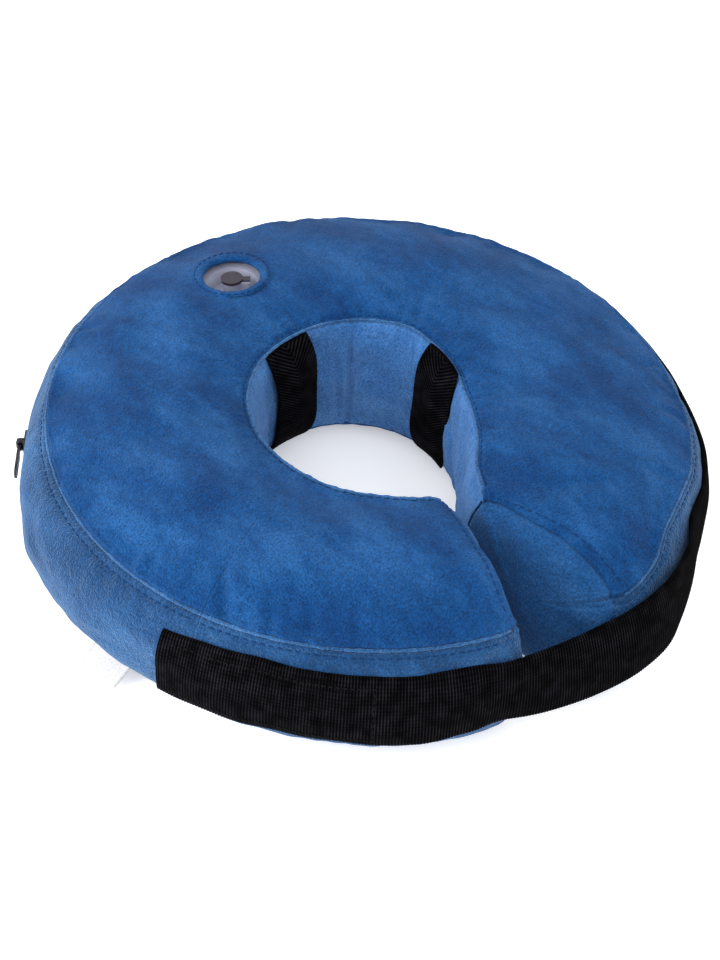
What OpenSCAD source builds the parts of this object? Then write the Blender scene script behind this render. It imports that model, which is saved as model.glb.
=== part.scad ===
// Inflatable recovery collar for a pet: a C-shaped air ring in a plush cover that goes round
// the neck, with a closure strap, an air valve, a zipped opening and loops for the pet's own
// collar. The origin is on the ring's axis at floor level, +Z is up through the neck opening,
// and the split between the two ends faces -Y. Angles are measured from +X towards +Y.

/* [Ring] */
// Radius of the outer seams
seam_r_out = 165; // [150:1:190]
// Radius of the inner seams, round the neck
seam_r_in = 62; // [56:1:72]
// Height of the outer top seam
seam_z_out_top = 70; // [64:1:84]
// Height of the outer lower seam
seam_z_out_low = 12; // [10:1:16]
// Height of the inner top seam
seam_z_in_top = 80; // [72:1:90]
// Height of the inner lower seam
seam_z_in_low = 9; // [8:1:12]
// How far the top panel puffs up between its seams
puff_top = 13; // [8:0.5:18]
// How far the outer wall puffs out
puff_out = 11; // [6:0.5:14]
// How far the lower panel would puff down if the floor did not flatten it
puff_low = 13; // [12:0.5:18]
// How far the inner wall puffs in
puff_in = 7; // [4:0.5:8]

/* [Cover and bladder] */
// Thickness of the plush cover, pile and backing together
cover_t = 2; // [1.5:0.1:3]
// Thickness of the bladder's film
film_t = 0.8; // [0.5:0.1:1.2]
// Gap between the cover and the bladder
skin_gap = 0.4; // [0.3:0.1:0.6]
// Gap between two panels at their seam
seam_gap = 0.2; // [0.1:0.05:0.3]

/* [Ends and flex line] */
// Direction of the right end's face
right_end_dir = -87; // [-90:1:-80]
// Direction of the left end's face
left_end_dir = -112; // [-116:1:-108]
// Distance of the left end's face from the ring's axis
left_end_shift = 18; // [14:1:22]
// Direction of the line where the ring flexes open
flex_dir = 55; // [50:1:58]
// Gap between the two arms on the flex line, in degrees
flex_gap = 0.2; // [0.1:0.1:0.4]

/* [Closure strap] */
// Width of the strap's webbing
strap_w = 38; // [30:1:40]
// Thickness of the strap's webbing
strap_t = 2; // [1.6:0.1:2.4]
// Height of the strap's middle
strap_z = 41; // [38:0.5:44]
// Gap between the strap and the wall
strap_gap = 0.3; // [0.3:0.1:0.6]
// Direction of the strap's sewn end
strap_sewn_dir = 4; // [-10:1:20]
// Direction where the strap starts to peel
strap_peel_dir = -85; // [-86:0.5:-80]
// Direction of the strap's free tip
strap_tip_dir = -165; // [-172:1:-150]
// Thickness of each half of the hook-and-loop fastener
hook_t = 0.8; // [0.6:0.1:1]
// Length of the hook tape, in degrees
hook_span = 34; // [20:1:38]
// Length of the loop patch on the left arm, in degrees
patch_span = 42; // [24:1:46]

/* [Neck loops] */
// Directions of the webbing loops on the inner wall
loop_dirs = [0, 90, 180];
// Width of the loops' webbing
loop_w = 26; // [20:1:28]
// Thickness of the loops' webbing
loop_t = 1.6; // [1.2:0.1:2]
// Distance of a loop's middle from the ring's axis, measured to its neck side
loop_r = 46; // [42:0.5:47]
// Gap between a loop's sewn ends and the seams
loop_gap = 0.3; // [0.3:0.05:0.5]

/* [Zip] */
// Height of the zip
zip_z = 41; // [38:0.5:44]
// Direction of the zip's back end
zip_from = 66; // [64:1:80]
// Direction of the zip's closed end
zip_to = 143; // [130:1:150]
// Width of each zip tape
tape_w = 6; // [5:0.5:8]
// Thickness of the zip tapes
tape_t = 1; // [0.8:0.1:1.4]
// Width of the closed coil
coil_w = 4.4; // [4:0.2:6]
// Length of the slider
slider_l = 12; // [10:0.5:14]
// Height of the slider
slider_w = 9; // [8:0.5:11]
// Length of the pull tab
pull_l = 24; // [18:1:28]
// Width of the pull tab
pull_w = 6; // [5:0.5:8]
// Thickness of the pull tab
pull_t = 1.4; // [1.2:0.1:1.6]

/* [Valve] */
// Direction of the valve
valve_dir = 88; // [82:1:100]
// Distance of the valve from the ring's axis
valve_r = 114; // [110:1:126]
// Radius of the opening in the cover
opening_r = 16; // [15:0.5:18]
// Width of the binding round that opening
binding_w = 2.5; // [2:0.25:3]
// Outer radius of the valve's soft disc
disc_r = 19; // [18:0.5:21]
// Outer radius of the stem
stem_r = 5; // [4.5:0.1:5.5]
// Radius of the stem's bore
bore_r = 3.2; // [2.8:0.1:3.4]
// Length of the stem
stem_l = 26; // [22:1:30]
// How far the stem pulls out
stem_travel = 12; // [8:0.5:14]
// Running clearance round the stem
stem_clear = 0.08; // [0.05:0.01:0.1]
// Direction in which the plug's tether lies, from the ring's outward direction
tether_dir = -130; // [-150:5:-110]

/* [Care tag] */
// Direction of the care tag
tag_dir = 182; // [175:1:188]
// Width of the tag along the seam
tag_w = 26; // [18:1:32]
// How far the tag stands out from the seam
tag_l = 11; // [8:1:18]
// Thickness of the tag
tag_t = 0.5; // [0.4:0.1:0.8]

/* [Hidden] */
$fn = 96;

plush = [0.13, 0.34, 0.63];
webbing = [0.06, 0.06, 0.07];
film = [0.75, 0.82, 0.88, 0.6];

// Reach of the solids that cut the ends, and how far a cut runs past a surface
far = 300;
cut_over = 3;
// Degrees by which the left arm is swept past its end before the end is cut
end_over = 24;
// Degrees of ring from which each end panel is sliced
end_slice = 20;
edge_steps = [14, 12, 16, 10];
edge_power = [2, 2.5, 4, 2];
edge_puff = [puff_top, puff_out, puff_low, puff_in];
TOP = 0;
OUTER = 1;
LOW = 2;
INNER = 3;
bladder_inset = cover_t + skin_gap;

left_from = flex_dir + flex_gap / 2;
left_span = 360 + left_end_dir + end_over - left_from;
right_from = right_end_dir;
right_span = flex_dir - flex_gap / 2 - right_from;

// ---- The ring's section. Its corners are the four seams, and each edge between them is puffed. ----

// Corners from the inner top seam, clockwise, moved inwards by inset
function corners(inset) = [
  [seam_r_in + inset, seam_z_in_top - inset],
  [seam_r_out - inset, seam_z_out_top - inset],
  [seam_r_out - inset, seam_z_out_low + inset],
  [seam_r_in + inset, seam_z_in_low + inset]
];

// How far an edge stands out at share t of its length
function puffed(i, t) = edge_puff[i] * (1 - pow(abs(2 * t - 1), edge_power[i]));

// Point on edge i at share t, never below the floor
function edge_point(i, t, inset) =
  let (a = corners(inset)[i], b = corners(inset)[(i + 1) % 4], d = (b - a) / norm(b - a))
  let (p = a + (b - a) * t + [-d.y, d.x] * puffed(i, t))
  [p.x, max(p.y, inset)];

function edge(i, inset, margin = 0) =
  let (len = norm(corners(inset)[(i + 1) % 4] - corners(inset)[i]), m = margin / len)
  [for (k = [0:edge_steps[i]]) edge_point(i, m + (1 - 2 * m) * k / edge_steps[i], inset)];

function reversed(list) = [for (k = [len(list) - 1:-1:0]) list[k]];

// Closed outline of the whole section, with each corner taken once
function section(inset) =
  [for (i = [0:3]) each [for (k = [0:edge_steps[i] - 1]) edge_point(i, k / edge_steps[i], inset)]];

// Band that one panel fills, from the outside of the cover to its backing
function panel(i) = concat(edge(i, 0, seam_gap / 2), reversed(edge(i, cover_t, seam_gap / 2)));

// Radius of the outer wall at a height, moved inwards by inset
function wall_r(z, inset = 0) =
  let (t = (seam_z_out_top - inset - z) / (seam_z_out_top - seam_z_out_low - 2 * inset))
  seam_r_out - inset + puffed(OUTER, t);

// Height and slope of the top panel at a radius
function top_share(r) = (r - seam_r_in) / (seam_r_out - seam_r_in);
function top_z(r) = edge_point(TOP, top_share(r), 0).y;
top_slope = atan((top_z(valve_r + 1) - top_z(valve_r - 1)) / 2);

// ---- Shapes that several pieces share ----

module swept(points, from, span) {
  rotate([0, 0, from])
    rotate_extrude(angle = span)
      polygon(points);
}

// Everything past the face of one end, moved into the ring by inset
module past_right_end(inset) {
  rotate([0, 0, right_end_dir])
    translate([0, inset - far, -cut_over])
      cube([far, far, far]);
}

module past_left_end(inset) {
  rotate([0, 0, left_end_dir])
    translate([0, left_end_shift - inset, -cut_over])
      cube([far, far, far]);
}

module left_half(points, inset) {
  difference() {
    swept(points, left_from, left_span);
    past_left_end(inset);
  }
}

module right_half(points, inset) {
  difference() {
    swept(points, right_from, right_span);
    past_right_end(inset);
  }
}

// Band on the outer wall between two heights and two insets
module wall_band(z0, z1, near, deep, from, span, steps = 8) {
  heights = [for (k = [0:steps]) z0 + (z1 - z0) * k / steps];
  swept(concat([for (z = heights) [wall_r(z, near), z]],
               [for (z = reversed(heights)) [wall_r(z, deep), z]]), from, span);
}

// ---- Plush cover ----

valve_cut_l = 12;

module cover_top_left() {
  color(plush)
    difference() {
      left_half(panel(TOP), cover_t + seam_gap);
      at_valve()
        translate([0, 0, -valve_cut_l / 2])
          cylinder(h = valve_cut_l, r = opening_r + binding_w + seam_gap);
    }
}

module cover_top_right() {
  color(plush) right_half(panel(TOP), cover_t + seam_gap);
}

slot_h = coil_w + 2 * (tape_w + 2 * seam_gap);

module cover_outer_left() {
  color(plush)
    difference() {
      left_half(panel(OUTER), cover_t + seam_gap);
      swept([[seam_r_out - cut_over, zip_z - slot_h / 2], [seam_r_out + far, zip_z - slot_h / 2],
             [seam_r_out + far, zip_z + slot_h / 2], [seam_r_out - cut_over, zip_z + slot_h / 2]],
            zip_from, zip_to - zip_from);
      wall_band(strap_z - patch_h / 2 - seam_gap, strap_z + patch_h / 2 + seam_gap, -cut_over,
                hook_t + seam_gap / 2, patch_from - seam_gap / 2, patch_span + seam_gap);
    }
}

module cover_outer_right() {
  color(plush) right_half(panel(OUTER), cover_t + seam_gap);
}

module cover_bottom_left() {
  color(plush) left_half(panel(LOW), cover_t + seam_gap);
}

module cover_bottom_right() {
  color(plush) right_half(panel(LOW), cover_t + seam_gap);
}

module cover_inner_left() {
  color(plush) left_half(panel(INNER), cover_t + seam_gap);
}

module cover_inner_right() {
  color(plush) right_half(panel(INNER), cover_t + seam_gap);
}

// The end panels close the tube: a slice of the whole section, one cover thick
module cover_end_left() {
  color(plush)
    difference() {
      swept(section(0), left_from + left_span - end_over - end_slice, end_over + end_slice);
      past_left_end(0);
      rotate([0, 0, left_end_dir])
        translate([0, left_end_shift - cover_t - far, -cut_over])
          cube([far, far, far]);
    }
}

module cover_end_right() {
  color(plush)
    difference() {
      swept(section(0), right_from, end_slice);
      rotate([0, 0, right_end_dir])
        translate([0, cover_t, -cut_over])
          cube([far, far, far]);
    }
}

// ---- Air bladder: a thin tube with one closed end in each arm ----

module bladder_left() {
  color(film)
    difference() {
      left_half(section(bladder_inset), bladder_inset);
      difference() {
        swept(section(bladder_inset + film_t), left_from - 1, left_span + 1);
        past_left_end(bladder_inset + film_t);
      }
      at_valve()
        translate([0, 0, -valve_cut_l / 2])
          cylinder(h = valve_cut_l, r = disc_in_r - seam_gap);
    }
}

module bladder_right() {
  color(film)
    difference() {
      right_half(section(bladder_inset), bladder_inset);
      difference() {
        swept(section(bladder_inset + film_t), right_from, right_span + 1);
        past_right_end(bladder_inset + film_t);
      }
    }
}

// ---- Closure strap ----

strap_low = strap_z - strap_w / 2;
strap_high = strap_z + strap_w / 2;
strap_outer = -(strap_gap + strap_t);
// Gap between the sewn and the free part of the strap, at the peel line
strap_split = 0.3;
// The hook tape and the loop patch stay inside the strap's edges, and the patch runs past its tip
hook_margin = 3;
patch_margin = 2;
hook_from_tip = 1;
patch_past_tip = 2;
hook_h = strap_w - 2 * hook_margin;
hook_from = strap_tip_dir + hook_from_tip;
patch_h = strap_w - 2 * patch_margin;
patch_from = strap_tip_dir - patch_past_tip;

module strap_sewn() {
  color(webbing)
    wall_band(strap_low, strap_high, strap_outer, -strap_gap,
              strap_peel_dir, strap_sewn_dir - strap_peel_dir);
}

module strap_free() {
  color(webbing)
    difference() {
      wall_band(strap_low, strap_high, strap_outer, -strap_gap, strap_tip_dir,
                strap_peel_dir - atan(strap_split / seam_r_out) - strap_tip_dir);
      wall_band(strap_z - hook_h / 2 - seam_gap, strap_z + hook_h / 2 + seam_gap,
                -strap_gap - hook_t - seam_gap / 2, cut_over, hook_from - seam_gap / 2,
                hook_span + seam_gap);
    }
}

module hook_tape() {
  color([0.1, 0.1, 0.11])
    wall_band(strap_z - hook_h / 2, strap_z + hook_h / 2, -strap_gap - hook_t, -strap_gap,
              hook_from, hook_span);
}

module loop_patch() {
  color([0.1, 0.1, 0.11])
    wall_band(strap_z - patch_h / 2, strap_z + patch_h / 2, 0, hook_t, patch_from, patch_span);
}

// ---- Neck loops: webbing sewn into both inner seams and bowed off the wall between them ----

loop_end_r = sqrt(pow(seam_r_in, 2) - pow(loop_w / 2, 2)) - loop_gap;
loop_z_mid = (seam_z_in_top + seam_z_in_low) / 2;
loop_end_gap = 1;
loop_half = (seam_z_in_top - seam_z_in_low) / 2 - loop_end_gap;
loop_steps = 16;
loop_bow_power = 4;

// Distance of the webbing's neck side from the axis at share u of its half height
function loop_x(u) = loop_r + (loop_end_r - loop_t - loop_r) * pow(abs(u), loop_bow_power);

module neck_loop(dir) {
  shares = [for (k = [-loop_steps:loop_steps]) k / loop_steps];
  color(webbing)
    rotate([0, 0, dir])
      translate([0, loop_w / 2, 0])
        rotate([90, 0, 0])
          linear_extrude(height = loop_w)
            polygon(concat([for (u = shares) [loop_x(u), loop_z_mid + loop_half * u]],
                           [for (u = reversed(shares)) [loop_x(u) + loop_t, loop_z_mid + loop_half * u]]));
}

module neck_loop_right() neck_loop(loop_dirs[0]);
module neck_loop_back() neck_loop(loop_dirs[1]);
module neck_loop_left() neck_loop(loop_dirs[2]);

// ---- Zip in the outer wall of the left arm ----

zip_black = [0.05, 0.05, 0.055];
// How deep the tapes lie in the wall, and how thick the coil and its stops are
tape_deep = 0.3;
coil_t = 1.6;
stop_proud = 0.2;
// Gaps along the zip, in degrees: at its ends, and between the coil and its stops
zip_end_gap = 0.1;
stop_span = 1;
slider_from_end = 4;
slider_dir = zip_to - slider_from_end;
slider_span = slider_l / seam_r_out * 180 / PI;
plate_t = 1.6;
plate_gap = 0.4;
pin_r = 0.7;
pin_clear = 0.15;
eye_r = 2;
lug_t = 1.2;
lug_gap = 0.3;
eye_h = 3.6;
pin_at = wall_r(zip_z) + plate_gap + plate_t + eye_r + lug_gap;

module zip_tape(side) {
  near_z = zip_z + side * (coil_w / 2 + seam_gap);
  far_z = near_z + side * tape_w;
  color(zip_black)
    wall_band(min(near_z, far_z), max(near_z, far_z), tape_deep, tape_deep + tape_t,
              zip_from + zip_end_gap, zip_to - zip_from - 2 * zip_end_gap, 2);
}

module zip_tape_upper() zip_tape(1);
module zip_tape_lower() zip_tape(-1);

module zip_coil() {
  color(zip_black)
    wall_band(zip_z - coil_w / 2, zip_z + coil_w / 2, 0, coil_t, zip_from + stop_span + 2 * zip_end_gap,
              zip_to - zip_from - 2 * stop_span - 4 * zip_end_gap, 2);
}

module zip_stops() {
  color([0.3, 0.3, 0.32])
    for (from = [zip_from + zip_end_gap, zip_to - stop_span - zip_end_gap])
      wall_band(zip_z - coil_w / 2, zip_z + coil_w / 2, -stop_proud, coil_t, from, stop_span, 2);
}

module zip_slider() {
  color([0.09, 0.09, 0.1]) {
    wall_band(zip_z - slider_w / 2, zip_z + slider_w / 2, -plate_gap - plate_t, -plate_gap,
              slider_dir - slider_span / 2, slider_span, 4);
    rotate([0, 0, slider_dir])
      for (side = [-1, 1])
        translate([pin_at, 0, zip_z + side * (eye_h / 2 + lug_gap + lug_t / 2)])
          lug();
    rotate([0, 0, slider_dir])
      translate([pin_at, 0, zip_z - eye_h / 2 - lug_gap - lug_t / 2])
        cylinder(h = eye_h + 2 * lug_gap + lug_t, r = pin_r);
  }
}

// Ear that holds one end of the pull's pin
module lug() {
  reach = eye_r + lug_gap + plate_t / 2;
  translate([0, 0, -lug_t / 2]) {
    cylinder(h = lug_t, r = pin_r + 0.8);
    translate([-reach, -pin_r - 0.8, 0])
      cube([reach, 2 * pin_r + 1.6, lug_t]);
  }
}

// The pull lies along the wall, past the slider's closed end
module zip_pull() {
  neck_w = eye_h - 0.4;
  color([0.09, 0.09, 0.1])
    rotate([0, 0, slider_dir])
      translate([pin_at, 0, zip_z])
        difference() {
          union() {
            translate([0, 0, -neck_w / 2])
              cylinder(h = neck_w, r = eye_r);
            translate([pull_t / 2, 0, 0])
              rotate([90, 0, -90])
                linear_extrude(height = pull_t)
                  polygon([[0, -neck_w / 2], [-5, -neck_w / 2], [-7, -pull_w / 2],
                           [1.5 - pull_l, -pull_w / 2], [-pull_l, 1.5 - pull_w / 2],
                           [-pull_l, pull_w / 2 - 1.5], [1.5 - pull_l, pull_w / 2],
                           [-7, pull_w / 2], [-5, neck_w / 2], [0, neck_w / 2]]);
          }
          translate([0, 0, -neck_w])
            cylinder(h = 2 * neck_w, r = pin_r + pin_clear);
          translate([-pull_t, pull_l - 4, 0])
            rotate([0, 90, 0])
              cylinder(h = 2 * pull_t, r = 1.5);
        }
}

// ---- Air valve, square to the top panel ----

// The disc's welded rim, and how far under the cover's outside it lies
disc_rim = 5.5;
disc_in_r = disc_r - disc_rim;
disc_t = 1;
disc_under_film = 2.2;
disc_top = -(cover_t + skin_gap + film_t + disc_under_film);
cup_depth = 6;
cup_floor = disc_top - cup_depth;
sleeve_l = 4;
sleeve_t = 1.6;
stem_top = disc_top + 1.5;
collar_r = stem_r + 1.6;
collar_t = 1.4;
stop_t = 1.5;
cap_r = stem_r + 1;
cap_t = 1.6;
cap_gap = 0.15;
shank_l = 4;
shank_taper = 0.7;
hinge_out = stem_r + 5;
ear_w = 4;
ear_t = 1.2;

module at_valve() {
  rotate([0, 0, valve_dir])
    translate([valve_r, 0, top_z(valve_r)])
      rotate([0, -top_slope, 0])
        children();
}

module ring(r_in, r_out, z0, z1) {
  rotate_extrude()
    polygon([[r_in, z0], [r_out, z0], [r_out, z1], [r_in, z1]]);
}

module valve_binding() {
  color([0.1, 0.27, 0.52])
    at_valve()
      ring(opening_r, opening_r + binding_w, -cover_t - skin_gap / 2, -0.4);
}

// Soft disc welded under the bladder's skin, dished to a floor that carries the stem's sleeve
module valve_disc() {
  sleeve_r = stem_r + stem_clear;
  color([0.85, 0.88, 0.92, 0.6])
    at_valve()
      rotate_extrude()
        polygon([[disc_in_r + 0.8, disc_top - disc_t], [disc_r, disc_top - disc_t], [disc_r, disc_top],
                 [disc_in_r, disc_top], [disc_in_r - 3, cup_floor], [sleeve_r, cup_floor],
                 [sleeve_r, cup_floor - sleeve_l], [sleeve_r + sleeve_t, cup_floor - sleeve_l],
                 [sleeve_r + sleeve_t, cup_floor - disc_t], [disc_in_r - 2.2, cup_floor - disc_t]]);
}

stop_z = cup_floor - sleeve_l - stem_travel - 0.2;

module valve_stem() {
  color([0.8, 0.84, 0.88, 0.7])
    at_valve()
      difference() {
        union() {
          rotate_extrude()
            polygon([[bore_r, stop_z - stop_t], [stem_r + 1.2, stop_z - stop_t], [stem_r + 1.2, stop_z],
                     [stem_r, stop_z], [stem_r, cup_floor + 0.1], [collar_r, cup_floor + 0.1],
                     [collar_r, cup_floor + 0.1 + collar_t], [stem_r, cup_floor + 0.1 + collar_t],
                     [stem_r, stem_top], [bore_r, stem_top]]);
          rotate([0, 0, tether_dir])
            translate([stem_r - 1, -ear_w / 2, stem_top - ear_t - cap_gap])
              cube([hinge_out - stem_r + 1, ear_w, ear_t]);
        }
        translate([0, 0, stop_z - far / 2])
          cylinder(h = far, r = bore_r);
      }
}

module valve_flap() {
  color([0.6, 0.65, 0.7, 0.7])
    at_valve()
      translate([0, 0, stop_z - stop_t + 0.3])
        cylinder(h = 0.6, r = bore_r - 0.2);
}

// Plug on its living hinge: the tether runs from the cap to the hinge line over the stem's ear
module valve_plug() {
  color([0.3, 0.22, 0.2])
    at_valve() {
      rotate_extrude()
        polygon([[0, stem_top + cap_gap - shank_l], [bore_r - shank_taper - 0.1, stem_top + cap_gap - shank_l],
                 [bore_r - 0.1, stem_top + cap_gap], [cap_r, stem_top + cap_gap],
                 [cap_r, stem_top + cap_gap + cap_t], [0, stem_top + cap_gap + cap_t]]);
      rotate([0, 0, tether_dir])
        translate([cap_r - 1, -ear_w / 2, stem_top + cap_gap])
          cube([hinge_out - cap_r + 1, ear_w, 0.8]);
    }
}

// ---- Care tag, sewn into the outer lower seam ----

// It hangs from just under the seam and slopes out to just above the floor
module care_tag() {
  tag_r = seam_r_out + 0.6;
  tag_top = seam_z_out_low - 0.3;
  tag_foot = 2;
  color([0.9, 0.92, 0.93, 0.6])
    rotate([0, 0, tag_dir])
      translate([0, tag_w / 2, 0])
        rotate([90, 0, 0])
          linear_extrude(height = tag_w)
            polygon([[tag_r, tag_top - tag_t], [tag_r + tag_l, tag_foot],
                     [tag_r + tag_l, tag_foot + tag_t], [tag_r, tag_top]]);
}

cover_top_left();
cover_outer_left();
cover_bottom_left();
cover_inner_left();
cover_end_left();
cover_top_right();
cover_outer_right();
cover_bottom_right();
cover_inner_right();
cover_end_right();
bladder_left();
bladder_right();
strap_sewn();
strap_free();
hook_tape();
loop_patch();
neck_loop_right();
neck_loop_back();
neck_loop_left();
zip_tape_upper();
zip_tape_lower();
zip_coil();
zip_stops();
zip_slider();
zip_pull();
valve_binding();
valve_disc();
valve_stem();
valve_flap();
valve_plug();
care_tag();
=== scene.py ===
# Looks of the inflatable recovery collar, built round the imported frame.
# Places are worked out in millimetres in the row frame and turned into metres when a mesh is made.
# Azimuths are in degrees from +X towards +Y. The split between the two ends faces -Y.
import math

import bpy
import numpy as np
from mathutils import Matrix, Vector


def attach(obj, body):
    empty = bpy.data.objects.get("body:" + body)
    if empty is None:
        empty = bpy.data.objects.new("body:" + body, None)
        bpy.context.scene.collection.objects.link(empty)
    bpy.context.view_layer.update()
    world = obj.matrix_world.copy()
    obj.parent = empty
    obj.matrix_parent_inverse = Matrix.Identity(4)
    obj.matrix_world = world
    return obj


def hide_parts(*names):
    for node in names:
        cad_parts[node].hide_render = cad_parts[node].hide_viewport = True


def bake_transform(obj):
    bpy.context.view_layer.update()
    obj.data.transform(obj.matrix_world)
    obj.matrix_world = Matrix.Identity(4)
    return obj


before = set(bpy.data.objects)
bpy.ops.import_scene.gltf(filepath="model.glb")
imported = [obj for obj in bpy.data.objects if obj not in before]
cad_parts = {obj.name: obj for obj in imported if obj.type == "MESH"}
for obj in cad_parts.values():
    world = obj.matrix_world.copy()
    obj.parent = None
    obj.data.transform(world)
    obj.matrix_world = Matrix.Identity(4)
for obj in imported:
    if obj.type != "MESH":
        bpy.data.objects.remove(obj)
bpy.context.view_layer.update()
MM = 0.001

TOP, OUTER, LOW, INNER = range(4)
PANEL_NAMES = ("top", "outer", "bottom", "inner")
# Where each panel is cut into its main piece and its short front piece
CUT = 200.0
RIGHT_END = -87.0
LEFT_END_LINE = 248.0
LEFT_END_SHIFT = 18.0
SEAM_R_OUT = 165.0
SEAM_TOP_Z = 70.0
SEAM_LOW_Z = 12.0
WALL_PUFF = 11.0
LEFT_END = LEFT_END_LINE + math.degrees(math.asin(LEFT_END_SHIFT / SEAM_R_OUT))
# Radius at which distances from an end are measured, and the middle of the ring's section
END_R = 110.0
MIDDLE_R = 113.0
MIDDLE_Z = 43.0
# The panel that closes an end is drawn in by this share, clear of the panels it is sewn to
END_INSET = 0.988

# (azimuth, millimetres) along the ring: where each seam runs
INNER_TOP_R = ((-87, 86), (-75, 70), (-62, 61), (-47, 54.5), (-30, 52), (-12, 54), (13, 58.5), (31, 62.5),
               (63, 62), (97, 60.5), (131, 60.5), (180, 63.5), (205, 67), (232, 72), (254, 79))
INNER_TOP_Z = ((-87, 79), (-30, 77), (13, 79.5), (31, 80), (254, 80))
OUTER_TOP_R = ((-87, 171), (-79, 171), (-70, 167), (-62, 168), (-54, 170), (-46, 169.5), (-30, 166.5),
               (0, 165), (254, 165))
OUTER_TOP_Z = ((-87, 56), (-79, 61), (-70, 67), (-60, 70), (-20, 71), (60, 70), (254, 70))
OUTER_LOW_R = ((-87, 174), (-75, 173), (-60, 169), (-40, 166), (0, 165), (145, 167), (165, 172),
               (185, 171), (200, 170), (215, 172), (235, 174.5), (254, 173))
OUTER_LOW_Z = ((-87, 7.5), (-70, 11), (254, 11))
INNER_LOW_R = ((-87, 76), (-70, 61), (-50, 53), (-20, 51.5), (10, 53), (40, 55), (65, 57), (90, 59),
               (150, 62), (190, 65), (254, 70))
INNER_LOW_Z = ((-87, 9), (254, 9))
SEAMS = ((INNER_TOP_R, INNER_TOP_Z), (OUTER_TOP_R, OUTER_TOP_Z),
         (OUTER_LOW_R, OUTER_LOW_Z), (INNER_LOW_R, INNER_LOW_Z))
# How far each panel puffs out between its seams, and how full its ends are
PUFF = (
    ((-87, 10), (-70, 13), (0, 13), (254, 13)),
    ((-87, 9), (-75, 10), (-60, 12), (-48, 11.5), (-20, 10), (20, 11), (143, 11), (150, 13.5), (163, 16.5),
     (180, 17), (198, 13), (215, 11), (254, 11)),
    ((-87, 13), (254, 13)),
    ((-87, 4), (-40, 3), (0, 4), (40, 6), (140, 6.5), (182, 4.5), (254, 6)),
)
POWER = (2.2, 2.5, 4.0, 2.2)
# Length of each panel across the ring, and the spacing of its points away from its seams
PANEL_LENGTHS = (104, 58, 104, 71)
PANEL_STEPS = (2.2, 1.5, 4.0, 2.2)
# The way out of the section at each seam, as (outwards, up)
SEAM_OUT = ((-0.71, 0.71), (0.62, 0.78), (0.75, -0.66), (-0.75, -0.66))

VALVE_DIR = 88.0
VALVE_R = 114.0
VALVE_Z = 87.889
VALVE_TILT = 5.822
VALVE_HOLE = 18.6
ZIP_Z = 41.0
ZIP_FROM = 66.0
ZIP_TO = 143.0
STRAP_Z = 41.0
STRAP_HALF = 19.0
PATCH_FROM = 195.8
PATCH_TO = 235.0
PATCH_HALF = 17.0
HOOK_FROM = -164.0
HOOK_TO = -130.0
HOOK_HALF = 16.0
STITCH_PITCH = 4.3
STITCH_LENGTH = 2.9
HERRING = 2.4


# ---- Numbers ----

def keyed(a, keys):
    """Smooth curve through (place, value) pairs, with no overshoot between them."""
    x = np.array([k[0] for k in keys], float)
    y = np.array([k[1] for k in keys], float)
    steps = np.diff(y) / np.diff(x)
    slope = np.zeros(len(x))
    together = steps[:-1] * steps[1:]
    either = np.where(together > 0, steps[:-1] + steps[1:], 1.0)
    slope[1:-1] = np.where(together > 0, 2 * together / either, 0.0)
    a = np.clip(a, x[0], x[-1])
    i = np.clip(np.searchsorted(x, a, side="right") - 1, 0, len(x) - 2)
    h = x[i + 1] - x[i]
    t = (a - x[i]) / h
    ahead = y[i] * (1 + 2 * t) * (1 - t) ** 2 + slope[i] * h * t * (1 - t) ** 2
    behind = y[i + 1] * t * t * (3 - 2 * t) + slope[i + 1] * h * t * t * (t - 1)
    return ahead + behind


def smooth(x, low, high):
    """0 before low, 1 after high, and a soft step between."""
    t = np.clip((x - low) / (high - low), 0, 1)
    return t * t * (3 - 2 * t)


def inside(x, low, high, soft):
    return smooth(x, low - soft, low) * (1 - smooth(x, high, high + soft))


def bump(x, width):
    return np.exp(-(x / width) ** 2)


def ripple(p, size, seed, count=9):
    """Smooth unevenness between about -1 and 1, with features of about that size in millimetres."""
    draw = np.random.default_rng(seed)
    total = 0
    for _ in range(count):
        way = draw.normal(size=3)
        way /= np.linalg.norm(way)
        pitch = size * (0.7 + 0.7 * draw.random())
        total = total + np.sin(p @ way * (math.tau / pitch) + draw.uniform(0, math.tau))
    return total / math.sqrt(count)


def polar(r, azimuth, z):
    a = np.radians(azimuth)
    return np.stack(np.broadcast_arrays(r * np.cos(a), r * np.sin(a), z), axis=-1)


def grid_normals(p):
    n = np.cross(np.gradient(p, axis=1), np.gradient(p, axis=0))
    return n / np.maximum(np.linalg.norm(n, axis=-1, keepdims=True), 1e-9)


# ---- Meshes ----

def grid_faces(rows, columns, closed=False):
    i = np.arange(rows * columns).reshape(rows, columns)
    if closed:
        i = np.concatenate([i, i[:, :1]], axis=1)
    return np.stack([i[:-1, :-1], i[:-1, 1:], i[1:, 1:], i[1:, :-1]], axis=-1).reshape(-1, 4)


def make(name, points, faces, flat_from=None):
    """New object from points in millimetres. Faces from flat_from on are shaded flat."""
    mesh = bpy.data.meshes.new(name)
    mesh.from_pydata((np.asarray(points) * MM).tolist(), [], [list(f) for f in faces])
    shade = np.ones(len(mesh.polygons), bool)
    if flat_from is not None:
        shade[flat_from:] = False
    mesh.polygons.foreach_set("use_smooth", shade)
    mesh.update()
    obj = bpy.data.objects.new(name, mesh)
    bpy.context.scene.collection.objects.link(obj)
    return obj


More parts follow.
